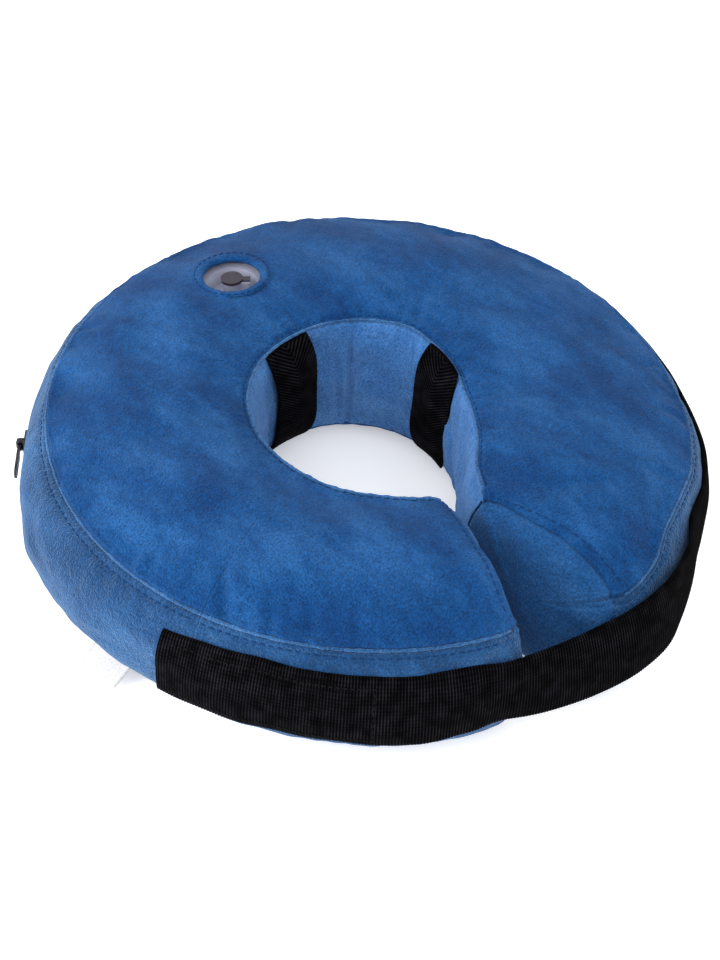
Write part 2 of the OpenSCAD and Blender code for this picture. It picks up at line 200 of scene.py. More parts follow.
def shell(name, front, back, faces):
    """Closed piece from a front skin and a back skin that share their layout."""
    n = len(front)
    edges = np.concatenate([faces[:, [k, (k + 1) % 4]] for k in range(4)])
    there = edges[:, 0] * n + edges[:, 1]
    back_again = edges[:, 1] * n + edges[:, 0]
    rim = edges[~np.isin(back_again, there)]
    walls = np.stack([rim[:, 1], rim[:, 0], rim[:, 0] + n, rim[:, 1] + n], axis=-1)
    used = np.unique(faces)
    skins = np.concatenate([faces, faces[:, ::-1] + n])
    keep = np.concatenate([used, used + n])
    places = np.full(2 * n, -1)
    places[keep] = np.arange(len(keep))
    points = np.concatenate([front, back])[keep]
    return make(name, points, places[np.concatenate([skins, walls])].tolist(), len(skins))


def tube(name, loops):
    """Closed tube through loops of points (rows, columns, 3), with a fan at each end."""
    rows, columns = loops.shape[:2]
    points = np.concatenate([loops.reshape(-1, 3), [loops[0].mean(0), loops[-1].mean(0)]])
    faces = grid_faces(rows, columns, closed=True).tolist()
    first = rows * columns
    last = (rows - 1) * columns
    for k in range(columns):
        n = (k + 1) % columns
        faces.append([n, k, first])
        faces.append([last + k, last + n, first + 1])
    return make(name, points, faces)


def map_weave(obj, along, across, ends):
    """Gives a tube of webbing its thread directions, in millimetres, and those of its two end points."""
    uv = obj.data.uv_layers.new(name="weave")
    index = np.zeros(len(obj.data.loops), int)
    obj.data.loops.foreach_get("vertex_index", index)
    where = np.stack([along, across], axis=-1).reshape(-1, 2)
    where = np.concatenate([where, ends])
    uv.data.foreach_set("uv", where[index].ravel())


def finish_piece(obj, material, body=None):
    obj.data.materials.append(material)
    if body:
        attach(obj, body)
    return obj


def bend_piece(obj):
    """The piece crosses the line where the ring flexes. Its placement is only baked into its points."""
    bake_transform(obj)


# ---- The ring's skin ----

def end_distance(a):
    return np.minimum(a - RIGHT_END, LEFT_END - a) * math.radians(1) * END_R


def rounding(a):
    """How much the section shrinks towards its middle close to an end."""
    reach = 12.0
    depth = 0.10
    x = np.clip(1 - end_distance(a) / reach, 0, 1)
    return 1 - depth * (1 - np.sqrt(1 - x * x))


def to_azimuth(a, r, z):
    """True azimuth of a place at radius r. Close to an end it follows the end's own leaning face."""
    right = RIGHT_END - 5.0 * np.clip((164.0 - r) / 71.0, 0, 1.4)
    right = right + 4.2 * np.clip((r - 82.0) / 50.0, 0, 1) * smooth(z, 20, 80)
    right = right - 4.8 * np.clip((r - 100.0) / 50.0, 0, 1) * (1 - smooth(z, 5, 60))
    left = LEFT_END_LINE + np.degrees(np.arcsin(np.clip(LEFT_END_SHIFT / np.maximum(r, 30), 0, 1)))
    left = left - 4.2 * np.clip((166.0 - r) / 80.0, 0, 1.2)
    near_right = 1 - smooth(a, RIGHT_END, RIGHT_END + 45)
    near_left = smooth(a, LEFT_END - 40, LEFT_END)
    return a + near_right * (right - RIGHT_END) + near_left * (left - LEFT_END)


def corner(k, a):
    radius, height = SEAMS[k % 4]
    return keyed(a, radius), keyed(a, height)


def section_point(panel, a, t):
    """Radius and height of the plain skin at share t of a panel."""
    r0, z0 = corner(panel, a)
    r1, z1 = corner(panel + 1, a)
    length = np.hypot(r1 - r0, z1 - z0)
    puff = keyed(a, PUFF[panel]) * (1 - np.abs(2 * t - 1) ** POWER[panel])
    r = r0 + (r1 - r0) * t - (z1 - z0) / length * puff
    z = z0 + (z1 - z0) * t + (r1 - r0) / length * puff
    share = rounding(a)
    return MIDDLE_R + (r - MIDDLE_R) * share, MIDDLE_Z + (z - MIDDLE_Z) * share, length


def place(a, r, z):
    return polar(r, to_azimuth(a, r, z), z)


def seam_pull(panel, t, length):
    """Both panels turn in where they are sewn together."""
    r = 0
    z = 0
    for side, s in ((0, t * length), (1, (1 - t) * length)):
        out = SEAM_OUT[(panel + side) % 4]
        depth = 1.5 * bump(s, 1.1)
        r = r - out[0] * depth
        z = z - out[1] * depth
    return r, z


def valve_distance(p):
    centre = polar(VALVE_R, VALVE_DIR, VALVE_Z)
    return np.linalg.norm((p - centre)[..., :2], axis=-1)


def gathers(a, s, seed, depth):
    """Short puckers that run away from a seam."""
    line = ripple(np.stack([a * 3.0, s * 0.12, 0 * a], axis=-1), 17, seed)
    fine = ripple(np.stack([a * 3.0, s * 0.2, 0 * a], axis=-1), 8, seed + 1)
    return depth * (line + 0.45 * fine) * bump(s - 6.5, 6.5)


# Creases seen on the ring: panel, azimuth, share, half length, half width, depth, turn in degrees
CREASES = (
    (TOP, -158, 0.89, 14, 2.8, 2.0, 62),
    (TOP, -149, 0.90, 12, 2.8, 1.7, 80),
    (TOP, -142, 0.91, 10, 3.0, 1.4, 98),
    (TOP, -134, 0.90, 9, 3.2, 1.3, 90),
    (TOP, -173, 0.91, 10, 2.8, 1.4, 75),
    (TOP, -118, 0.91, 8, 3.4, 1.0, 96),
    (TOP, 25, 0.10, 8, 2.5, 1.2, 80),
    (TOP, 82, 0.06, 5, 2.0, 1.0, 95),
    (TOP, -28, 0.90, 12, 3.0, 1.6, 60),
    (TOP, -42, 0.92, 10, 3.0, 1.5, 105),
    (TOP, -60, 0.90, 9, 3.0, 1.2, 75),
    (TOP, -72, 0.55, 16, 4.0, 1.6, 60),
    (TOP, 20, 0.92, 9, 3.0, 1.2, 100),
    (TOP, 62, 0.92, 8, 3.0, 1.0, 80),
    (TOP, 118, 0.92, 8, 3.0, 1.0, 95),
    (OUTER, 165, 0.35, 16, 4.0, 1.2, 20),
    (OUTER, 183, 0.60, 14, 3.5, 1.0, -15),
    (INNER, 55, 0.45, 34, 1.5, 2.4, 91),
    (INNER, 63, 0.50, 26, 1.7, 1.8, 87),
    (INNER, 112, 0.45, 24, 3.0, 1.6, 78),
    (INNER, -30, 0.40, 22, 3.0, 2.0, 65),
    (INNER, -58, 0.50, 24, 3.5, 2.0, 70),
)


def creases(panel, a, t, r, length):
    total = 0
    for kind, azimuth, share, half_l, half_w, depth, turn in CREASES:
        if kind != panel:
            continue
        centre = azimuth if azimuth > RIGHT_END else azimuth + 360
        along = np.radians(a - centre) * r
        across = (t - share) * length
        c = math.cos(math.radians(turn))
        s = math.sin(math.radians(turn))
        u = (along * c + across * s) / half_l
        v = (-along * s + across * c) / half_w
        total = total - depth * np.exp(-u * u - v * v)
        total = total + 0.35 * depth * np.exp(-u * u - (np.abs(v) - 2) ** 2)
    return total


def relief(panel, a, t, p, r, length):
    """Slow and fine unevenness of the skin, outwards, in millimetres."""
    s0 = t * length
    s1 = (1 - t) * length
    calm = np.ones_like(t)
    if panel == TOP:
        calm = smooth(valve_distance(p), 19, 36)
    if panel == OUTER:
        over = np.abs(corner_height(t, a) - ZIP_Z)
        calm = 1 - inside(a, ZIP_FROM - 2, ZIP_TO + 2, 4) * (1 - smooth(over, 9, 14))
    away = smooth(np.minimum(s0, s1), 0, 8)
    slow = (1.1 * ripple(p, 70, 11) + 0.65 * ripple(p, 30, 12)) * away * calm
    slow = slow + creases(panel, a, t, r, length) * calm
    fine = 0.14 * ripple(p, 9, 13) * calm
    if panel == TOP:
        fine = fine + gathers(a, s1, 21, 0.70) * calm + gathers(a, s0, 31, 0.22) * calm
        fine = fine + 0.9 * bump(s1 - 1.7, 1.3) - 0.6 * bump(s0 - 2.4, 0.9) + 0.3 * bump(s0 - 4.6, 1.5)
    elif panel == OUTER:
        fine = fine + gathers(a, s0 - 2, 23, 0.30) * calm + gathers(a, s1, 25, 0.35) * calm
        fine = fine - 0.8 * bump(s0 - 2.9, 0.9) + 0.25 * bump(s0 - 5.4, 1.6)
        fine = fine - 1.7 * zip_bed(a, t) - 0.9 * patch_bed(a, t)
    elif panel == INNER:
        fine = fine + gathers(a, s0, 27, 0.35) + gathers(a, s1, 29, 0.35)
    return slow, fine


def corner_height(t, a):
    z0 = keyed(a, OUTER_TOP_Z)
    z1 = keyed(a, OUTER_LOW_Z)
    return z0 + (z1 - z0) * t


def zip_bed(a, t):
    return inside(a, ZIP_FROM, ZIP_TO, 0.5) * inside(corner_height(t, a), ZIP_Z - 8.2, ZIP_Z + 8.2, 1.2)


def patch_bed(a, t):
    off_line = corner_height(t, a) - STRAP_Z
    half = PATCH_HALF + 0.2
    return inside(a, PATCH_FROM, PATCH_TO, 0.4) * inside(off_line, -half, half, 0.8)


def skin(panel, rows, shares, back=2.4):
    """Front and back of a panel as grids of points, with the way out at each."""
    a, t = np.meshgrid(rows, shares, indexing="ij")
    r, z, length = section_point(panel, a, t)
    plain = place(a, r, z)
    out = grid_normals(plain)
    pull_r, pull_z = seam_pull(panel, t, length)
    slow, fine = relief(panel, a, t, plain, r, length)
    sewn = place(a, r + pull_r, z + pull_z)
    front = sewn + out * (slow + fine)[..., None]
    behind = sewn + out * (slow - back)[..., None]
    front[..., 2] = np.maximum(front[..., 2], 0.0)
    behind[..., 2] = np.maximum(behind[..., 2], 0.6)
    return front, behind, out


def ring_rows(low, high):
    close = np.array([0, 0.3, 0.9, 1.8, 3.0, 4.5, 6.3, 8.3, 10.3]) / END_R / math.radians(1)
    step = 0.7
    middle = np.arange(RIGHT_END + 6.0, LEFT_END - 6.0, step)
    rows = np.concatenate([RIGHT_END + close, middle, LEFT_END - close[::-1], [CUT]])
    rows = np.unique(np.round(rows, 4))
    rows = rows[(np.abs(rows - CUT) > step / 3) | (rows == CUT)]
    return rows[(rows >= low - 1e-6) & (rows <= high + 1e-6)]


def seam_shares(length, step):
    """Shares across a panel, closer together at its seams."""
    close = np.array([0, 0.5, 1.0, 1.5, 2.0, 2.6, 3.2, 3.8, 4.4, 5.0, 6.0, 7.4, 9.2])
    middle = np.linspace(close[-1], length - close[-1], int((length - 2 * close[-1]) / step) + 2)[1:-1]
    return np.concatenate([close, middle, length - close[::-1]]) / length


SHARES = tuple(seam_shares(length, step) for length, step in zip(PANEL_LENGTHS, PANEL_STEPS))


# ---- Materials ----

class Paint:
    """A node material, written a node at a time."""

    def __init__(self, name, colour, roughness, **sockets):
        self.material = bpy.data.materials.new(name)
        self.material.use_nodes = True
        self.tree = self.material.node_tree
        self.shader = self.tree.nodes["Principled BSDF"]
        self.shader.inputs["Base Color"].default_value = (*colour, 1)
        self.shader.inputs["Roughness"].default_value = roughness
        for socket, value in sockets.items():
            self.shader.inputs[socket.replace("_", " ")].default_value = value

    def node(self, kind, inputs=None, **settings):
        n = self.tree.nodes.new(kind)
        for key, value in settings.items():
            setattr(n, key, value)
        for key, value in (inputs or {}).items():
            if isinstance(value, bpy.types.NodeSocket):
                self.tree.links.new(value, n.inputs[key])
            else:
                n.inputs[key].default_value = value
        return n

    def place(self, scale=(1, 1, 1), turn=(0, 0, 0)):
        where = self.node("ShaderNodeTexCoord")
        return self.node("ShaderNodeMapping", {"Vector": where.outputs["Object"], "Scale": scale,
                                               "Rotation": turn}).outputs[0]

    def noise(self, vector, scale, detail=2.0, roughness=0.5):
        n = self.node("ShaderNodeTexNoise", {"Vector": vector, "Scale": scale, "Detail": detail,
                                             "Roughness": roughness})
        return n.outputs["Fac"]

    def ramp(self, value, stops):
        n = self.node("ShaderNodeValToRGB", {"Fac": value})
        ramp = n.color_ramp
        while len(ramp.elements) < len(stops):
            ramp.elements.new(0.5)
        for element, (at, colour) in zip(ramp.elements, stops):
            element.position = at
            element.color = (*colour, 1)
        return n.outputs["Color"]

    def math(self, operation, a, b=0.0, c=0.0):
        n = self.node("ShaderNodeMath", operation=operation)
        for socket, value in zip(n.inputs, (a, b, c)):
            if isinstance(value, bpy.types.NodeSocket):
                self.tree.links.new(value, socket)
            else:
                socket.default_value = value
        return n.outputs[0]

    def mix(self, share, a, b, blend="MIX"):
        n = self.node("ShaderNodeMix", data_type="RGBA", blend_type=blend)
        for socket, value in ((n.inputs[0], share), (n.inputs[6], a), (n.inputs[7], b)):
            if isinstance(value, bpy.types.NodeSocket):
                self.tree.links.new(value, socket)
            else:
                socket.default_value = value if isinstance(value, float) else (*value, 1)
        return n.outputs[2]

    def link(self, value, socket):
        self.tree.links.new(value, self.shader.inputs[socket])

    def height(self, value, distance, strength=1.0, on=None):
        inputs = {"Height": value, "Distance": distance, "Strength": strength}
        if on is not None:
            inputs["Normal"] = on
        return self.node("ShaderNodeBump", inputs).outputs[0]


def plush_paint(name, dark, middle, pale, sheen):
    """Short pile: soft patches where it is brushed each way, fine strokes, and single tufts."""
    p = Paint(name, middle, 0.9, Sheen_Weight=sheen, Sheen_Roughness=0.42, Specular_IOR_Level=0.1)
    p.shader.inputs["Sheen Tint"].default_value = (0.50, 0.72, 1.0, 1)
    plain = p.place()
    swept = p.place(scale=(1, 0.5, 1), turn=(0.3, 0.2, 0.9))
    patches = p.noise(swept, 38, 3, 0.55)
    strokes = p.noise(swept, 210, 3, 0.6)
    pile = p.noise(plain, 1000, 2, 0.6)
    nap = p.math("MULTIPLY_ADD", strokes, 0.25, p.math("MULTIPLY", patches, 0.75))
    colour = p.ramp(nap, ((0.38, dark), (0.50, middle), (0.64, pale)))
    speck = p.math("MULTIPLY_ADD", pile, 2.0, 0.0)
    grey = p.node("ShaderNodeCombineColor", {0: speck, 1: speck, 2: speck}).outputs[0]
    p.link(p.mix(1.0, colour, grey, "MULTIPLY"), "Base Color")
    clumps = p.height(p.noise(plain, 360, 3, 0.65), 0.0020, 0.6)
    p.link(p.height(pile, 0.0016, 0.9, clumps), "Normal")
    return p.material


def webbing_paint(name, along, across):
    """Black webbing, painted lighter on its rib crests and darker between them (painted highlight and
    painted shade), mixed with random wear. Its thread directions come from the piece's own map, in
    millimetres.
    """
    p = Paint(name, (0.005, 0.005, 0.006), 0.85, Specular_IOR_Level=0.02)
    uv = p.node("ShaderNodeUVMap", uv_map="weave")
    parts = p.node("ShaderNodeSeparateXYZ", {0: uv.outputs[0]})
    u = p.math("MULTIPLY", parts.outputs[0], math.tau / along)
    v = p.math("MULTIPLY", parts.outputs[1], math.tau / across)
    beads = p.math("MULTIPLY_ADD", p.math("SINE", v), 0.22, p.math("SINE", u))
    wear = p.noise(p.place(), 150, 3)
    # Rib crests are painted lighter and grooves darker: painted highlight and painted shade on the ribs,
    # plus random wear.
    rib_shade_and_wear = p.math("MULTIPLY_ADD", beads, 0.33, wear)
    colour = p.ramp(rib_shade_and_wear, ((0.25, (0.0003, 0.0003, 0.0004)), (0.60, (0.0016, 0.0015, 0.0022)),
                            (0.95, (0.0120, 0.0112, 0.0145))))
    p.link(colour, "Base Color")
    threads = p.height(beads, 0.00025, 0.8)
    p.link(p.height(p.noise(p.place(), 1700, 2), 0.0002, 0.4, threads), "Normal")
    return p.material


def thread_paint(name, dark, pale):
    p = Paint(name, dark, 0.85, Specular_IOR_Level=0.1)
    twist = p.noise(p.place(), 1400, 2)
    p.link(p.ramp(twist, ((0.3, dark), (0.7, pale))), "Base Color")
    return p.material


def pvc_paint(name, colour, roughness, transmission):
    p = Paint(name, colour, roughness, Transmission_Weight=transmission, IOR=1.5)
    p.link(p.height(p.noise(p.place(), 90, 2), 0.0012, 0.15), "Normal")
    return p.material


def plug_paint():
    p = Paint("valve_plug", (0.020, 0.016, 0.026), 0.30, Specular_IOR_Level=0.3)
    mould = p.noise(p.place(), 260, 2)
    p.link(p.ramp(mould, ((0.3, (0.012, 0.009, 0.016)), (0.75, (0.030, 0.023, 0.036)))), "Base Color")
    p.link(p.height(mould, 0.0003, 0.3), "Normal")
    return p.material


def dark_metal_paint():
    p = Paint("zip_metal", (0.02, 0.02, 0.022), 0.3, Metallic=0.9)
    scuff = p.noise(p.place(), 700, 4, 0.65)
    p.link(p.ramp(scuff, ((0.35, (0.012, 0.012, 0.014)), (0.75, (0.075, 0.075, 0.08)))), "Base Color")
    p.link(p.ramp(scuff, ((0.3, (0.22, 0.22, 0.22)), (0.8, (0.5, 0.5, 0.5)))), "Roughness")
    return p.material


def coil_paint():
    p = Paint("zip_coil", (0.005, 0.005, 0.006), 0.5, Specular_IOR_Level=0.12)
    p.link(p.height(p.noise(p.place(), 900, 2), 0.0001, 0.4), "Normal")
    gloss = p.noise(p.place(), 400, 2)
    p.link(p.ramp(gloss, ((0.3, (0.003, 0.003, 0.004)), (0.8, (0.008, 0.008, 0.009)))), "Base Color")
    return p.material


def hook_paint(name, tone):
    """Hook-and-loop surface: a field of fine loops or hooks, with painted highlight on their tips and
    painted shade in the gaps between them.
    """
    p = Paint(name, tone, 0.85, Sheen_Weight=0.03, Specular_IOR_Level=0.05)
    cells = p.node("ShaderNodeTexVoronoi", {"Vector": p.place(), "Scale": 900.0})
    p.link(p.height(cells.outputs["Distance"], 0.0007, 0.9), "Normal")
    # Tips painted lighter and gaps darker: painted highlight and painted shade on the loops.
    lit_tip = tuple(c * 1.8 for c in tone)
    shaded_gap = tuple(c * 0.5 for c in tone)
    p.link(p.ramp(cells.outputs["Distance"], ((0.1, lit_tip), (0.6, shaded_gap))), "Base Color")
    return p.material


def tag_paint():
    p = Paint("care_tag", (0.86, 0.89, 0.92), 0.38, Transmission_Weight=0.1, Sheen_Weight=0.1)
    satin = p.noise(p.place(scale=(1, 1, 0.1)), 1200, 2)
    p.link(p.ramp(satin, ((0.3, (0.36, 0.36, 0.38)), (0.8, (0.55, 0.55, 0.57)))), "Base Color")
    p.link(p.height(satin, 0.0002, 0.4), "Normal")
    return p.material


PLUSH = plush_paint("plush", (0.002, 0.033, 0.126), (0.004, 0.049, 0.168), (0.012, 0.075, 0.226), 0.08)
# Darker copy of the same plush for the outer wall: painted shade standing in for how the light falls on
# the wall.
WALL_PLUSH_SHADED = plush_paint("plush_wall_shaded", (0.004, 0.033, 0.104), (0.007, 0.046, 0.138),
                         (0.015, 0.070, 0.185), 0.36)
# Lighter copy of the same plush for the neck wall: painted light and painted sheen standing in for the
# front light on the inner wall.
NECK_PLUSH_LIT = plush_paint("plush_neck_lit", (0.028, 0.110, 0.300), (0.041, 0.140, 0.360),
                         (0.062, 0.182, 0.430), 0.26)
# Lighter copy of the same plush for the seam ridges: a painted highlight along the folds.
RIDGE_PLUSH_HIGHLIGHT = plush_paint("plush_ridge_highlight", (0.010, 0.062, 0.180), (0.020, 0.088, 0.235),
                          (0.038, 0.125, 0.300), 0.35)
# Lighter copy of the same plush for the end panels: painted light that lifts the end out of the shade it
# sits in.
END_PLUSH_LIT = plush_paint("plush_end_lit", (0.006, 0.052, 0.170), (0.011, 0.070, 0.212),
                        (0.022, 0.098, 0.265), 0.20)
# Top and bottom panels take the plain plush; the outer wall takes the darker copy (painted shade) and the
# neck wall the lighter copy (painted light).
PANEL_PLUSH = (PLUSH, WALL_PLUSH_SHADED, PLUSH, NECK_PLUSH_LIT)
THREAD = thread_paint("thread", (0.002, 0.016, 0.065), (0.006, 0.040, 0.135))
BLACK_THREAD = thread_paint("thread_black", (0.0008, 0.0008, 0.001), (0.004, 0.004, 0.0045))
STRAP_WEB = webbing_paint("strap_webbing", 1.5, 1.9)
NECK_WEB = webbing_paint("neck_webbing", HERRING, 1.3)
ZIP_TAPE = webbing_paint("zip_tape", 0.9, 0.9)
FILM = pvc_paint("bladder_film", (0.50, 0.54, 0.66), 0.25, 0.45)
PVC = pvc_paint("valve_pvc", (0.60, 0.62, 0.78), 0.07, 0.62)
PLUG = plug_paint()
METAL = dark_metal_paint()
COIL = coil_paint()
HOOK = hook_paint("hook_tape", (0.0040, 0.0040, 0.0045))
LOOP = hook_paint("loop_patch", (0.0060, 0.0060, 0.0068))
TAG = tag_paint()


# ---- Cover and bladder ----

def valve_frame():
    tilt = math.radians(VALVE_TILT)
    d = math.radians(VALVE_DIR)
    up = np.array([math.sin(tilt) * math.cos(d), math.sin(tilt) * math.sin(d), math.cos(tilt)])
    side = np.array([-math.sin(d), math.cos(d), 0])
    out = np.cross(side, up)
    return polar(VALVE_R, VALVE_DIR, VALVE_Z), out, side, up


def open_valve(points, faces):
    """Leaves out the faces over the valve and finds the points on the edge they leave."""
    centre, out, side, up = valve_frame()
    x = (points - centre) @ out
    y = (points - centre) @ side
    near = np.hypot(x, y)
    gone = (near < VALVE_HOLE)[faces].all(axis=1)
    kept = faces[~gone]
    rim = np.intersect1d(np.unique(faces[gone]), np.unique(kept))
    return kept, rim, x, y, near


def snap_to_hole(points, rim, x, y, near):
    centre, out, side, up = valve_frame()
    h = (points - centre) @ up
    scale = VALVE_HOLE / np.maximum(near, 1e-6)
    moved = points.copy()
    moved[rim] = (centre + out * (x * scale)[rim, None] + side * (y * scale)[rim, None]
                  + up * h[rim, None])
    return moved


def cover_panel(panel, low, high, side):
    rows = ring_rows(low, high)
    front, back, out = skin(panel, rows, SHARES[panel])
    shape = front.shape[:2]
    front = front.reshape(-1, 3)
    back = back.reshape(-1, 3)
    faces = grid_faces(*shape)
    if panel == TOP and low < VALVE_DIR < high:
        faces, rim, x, y, near = open_valve(front, faces)
        front = snap_to_hole(front, rim, x, y, near)
        back = snap_to_hole(back, rim, x, y, near)
    obj = shell(f"plush_{PANEL_NAMES[panel]}_{side}", front, back, faces)
    return finish_piece(obj, PANEL_PLUSH[panel])


def build_cover():
    names = ("cover_top", "cover_outer", "cover_bottom", "cover_inner")
    for panel in range(4):
        main = cover_panel(panel, RIGHT_END, CUT, "main")
        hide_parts(names[panel] + "_right", names[panel] + "_left")
        bend_piece(main)
        rest = cover_panel(panel, CUT, LEFT_END, "front")
        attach(rest, "left_arm")


def section_loop(rows, back=0.0):
    """Whole section at each row, each seam taken once."""
    parts = []
    for panel in range(4):
        front, behind, out = skin(panel, rows, SHARES[panel], back)
        parts.append((behind if back else front)[:, :-1])
    return np.concatenate(parts, axis=1)


def end_panel(name, row, before, way, puff, body, node):
    """Soft panel that closes one end of the ring."""
    outline = section_loop(np.array([row, before]))[0]
    middle = outline.mean(0)
    shares = np.array([0, 0.015, 0.03, 0.06, 0.1, 0.16, 0.24, 0.34, 0.46, 0.6, 0.74, 0.86, 0.94])
    rings = []
    for share in shares:
        lift = puff * math.sin(share * math.pi / 2) ** 0.5 - 1.3 * math.exp(-(share / 0.02) ** 2)
        rings.append(middle + (outline - middle) * (END_INSET * (1 - share)) + way * lift)
    rings = np.array(rings)
    wave = 0.9 * ripple(rings, 34, 41) + 0.4 * ripple(rings, 16, 42)
    rings = rings + way * (wave * np.minimum(shares * 5, 1)[:, None])[..., None]
    count = rings.shape[1]
    points = np.concatenate([rings.reshape(-1, 3), [rings[-1].mean(0)]])
    faces = grid_faces(len(shares), count, closed=True)
    last = (len(shares) - 1) * count
    fan = [[last + k, last + (k + 1) % count, len(points) - 1] for k in range(count)]
    back = points - way * 2.2
    n = len(points)
    skins = faces.tolist() + fan
    if row < before:
        skins = [f[::-1] for f in skins]
    behind = [[k + n for k in f[::-1]] for f in skins]
    rim = []
    for k in range(count):
        m = (k + 1) % count
        rim.append([k, m, m + n, k + n] if row < before else [m, k, k + n, m + n])
    obj = make(name, np.concatenate([points, back]), skins + behind + rim, len(skins) * 2)
    obj.data.validate()
    # The end panel takes the lighter plush copy: painted light on a face that lies in shade.
    finish_piece(obj, END_PLUSH_LIT, body)
    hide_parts(node)
    return obj


def build_ends():
    right = math.radians(RIGHT_END - 2.5)
    left = math.radians(LEFT_END_LINE)
    end_panel("plush_end_right", RIGHT_END, RIGHT_END + 0.2,
              np.array([math.sin(right), -math.cos(right), 0]), 12.0, "right_arm", "cover_end_right")
    end_panel("plush_end_left", LEFT_END, LEFT_END - 0.2,
              np.array([-math.sin(left), math.cos(left), 0]), 4.0, "left_arm", "cover_end_left")


def bladder_part(name, rows):
    loops = section_loop(rows, 3.4)
    centre, out, side, up = valve_frame()
    x = (loops - centre) @ out
    y = (loops - centre) @ side
    h = (loops - centre) @ up
    sunk = smooth(np.hypot(x, y), 16, 26)
    over = (h > -12) & (h < 12)
    drop = np.where(over, (1 - sunk) * np.maximum(0, h + 12.5), 0)
    loops = loops - up * drop[..., None]
    obj = tube(name, loops)
    return finish_piece(obj, FILM)


def build_bladder():
    margin = 3.5
    main = ring_rows(RIGHT_END + margin, CUT)[::3]
    rest = ring_rows(CUT, LEFT_END - margin)[::3]
    obj = bladder_part("bladder_main", np.append(main[main < CUT - 0.5], CUT - 0.3))
    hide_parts("bladder_left", "bladder_right")
    bend_piece(obj)
    obj = bladder_part("bladder_front", np.insert(rest[rest > CUT + 0.5], 0, CUT + 0.3))
    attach(obj, "left_arm")


def seam_ridge(name, seam, low, high):
    """The fuzzy fold that stands up where two panels are sewn together."""
    rows = ring_rows(low, high)
    r, z, length = section_point(seam, rows, np.zeros_like(rows))
    out = SEAM_OUT[seam]
    middle = place(rows, r - 1.0 * out[0], z - 1.0 * out[1])
    outward = place(rows, r + out[0], z + out[1]) - place(rows, r, z)
    way = np.gradient(middle, axis=0)
    across = np.cross(way, outward)
    across /= np.linalg.norm(across, axis=-1, keepdims=True)
    fuzz = 1.05 + 0.16 * ripple(middle, 7, 51) + 0.12 * ripple(middle, 3.2, 52)
    turn = np.arange(8) * math.tau / 8
    loops = np.stack([middle + outward * (fuzz * 1.15 * math.cos(a))[:, None]
                      + across * (fuzz * 0.85 * math.sin(a))[:, None] for a in turn], axis=1)
    obj = tube(name, loops[:, ::-1])
    # The ridge takes the lighter plush copy: a painted highlight along the fold.
    return finish_piece(obj, RIDGE_PLUSH_HIGHLIGHT)


def build_ridges():
    for name, seam in (("ridge_outer_top", OUTER), ("ridge_inner_top", TOP)):
        bend_piece(seam_ridge(name + "_main", seam, RIGHT_END + 1, CUT))
        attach(seam_ridge(name + "_front", seam, CUT, LEFT_END - 1), "left_arm")


# ---- Stitches ----

def stitch_mesh(name, centres, ways, outs, length, radius=0.36):
    """A row of short thread stitches, each a small bowed bead."""
    sides = 6
    along = np.array([-0.5, -0.42, -0.2, 0.2, 0.42, 0.5])
    thick = np.array([0.25, 0.8, 1.0, 1.0, 0.8, 0.25])
    sink = np.array([-0.7, -0.25, 0.0, 0.0, -0.25, -0.7])
    turn = np.arange(sides) * math.tau / sides
    across = np.cross(outs, ways)
    across /= np.linalg.norm(across, axis=-1, keepdims=True)
    rings = []
    for x, k, drop in zip(along, thick, sink):
        middle = centres + ways * (x * length) + outs * (drop * radius)
        r = radius * k
        ring = [middle + across * (r * math.cos(a)) + outs * (r * math.sin(a)) for a in turn]
        rings.append(np.stack(ring, axis=1))
    points = np.stack(rings, axis=1)
    one = grid_faces(len(along), sides, closed=True).tolist()
    one += [list(range(sides))[::-1], [len(along) * sides - sides + k for k in range(sides)]]
    one = [f[::-1] for f in one]
    size = len(along) * sides
    faces = [[k + i * size for k in f] for i in range(len(centres)) for f in one]
    return make(name, points.reshape(-1, 3), faces)


def seam_stitches(name, panel, from_seam, low, high):
    """Topstitching along a seam, from_seam millimetres from it."""
    rows = np.arange(low, high, 0.25)
    shares = np.array([0.0, 0.01, 0.02]) - 0.01
    at = from_seam / PANEL_LENGTHS[panel]
    front, back, out = skin(panel, rows, at + shares)
    return stitch_row(name, front[:, 1], grid_normals(front)[:, 1], STITCH_PITCH, STITCH_LENGTH)


def stitch_row(name, line, outs, pitch, length, material=THREAD):
    steps = np.linalg.norm(np.diff(line, axis=0), axis=1)
    run = np.concatenate([[0], np.cumsum(steps)])
    spots = np.arange(pitch / 2, run[-1] - pitch / 2, pitch)
    centres = np.stack([np.interp(spots, run, line[:, k]) for k in range(3)], axis=-1)
    ahead = np.stack([np.interp(spots + 0.5, run, line[:, k]) for k in range(3)], axis=-1)
    ways = ahead - centres
    ways /= np.linalg.norm(ways, axis=-1, keepdims=True)
    normals = np.stack([np.interp(spots, run, outs[:, k]) for k in range(3)], axis=-1)
    normals /= np.linalg.norm(normals, axis=-1, keepdims=True)
    obj = stitch_mesh(name, centres + normals * 0.12, ways, normals, length)
    return finish_piece(obj, material)


def build_seam_stitches():
    for name, panel, from_seam in (("stitch_outer_top", OUTER, 2.9), ("stitch_inner_top", TOP, 2.4)):
        obj = seam_stitches(name + "_main", panel, from_seam, RIGHT_END + 4, CUT)
        bend_piece(obj)
        obj = seam_stitches(name + "_front", panel, from_seam, CUT, LEFT_END - 4)
        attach(obj, "left_arm")
    end_stitches("stitch_end_right", RIGHT_END + 1.6, "right_arm")
    end_stitches("stitch_end_left", LEFT_END - 1.6, "left_arm")


def end_stitches(name, a, body):
    """Topstitching on the top panel, beside the seam that closes an end."""
    shares = np.linspace(0.035, 0.955, 300)
    front, back, out = skin(TOP, np.array([a - 0.4, a, a + 0.4]), shares)
    obj = stitch_row(name, front[1], out[1], STITCH_PITCH, STITCH_LENGTH)
    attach(obj, body)


# ---- Closure strap ----

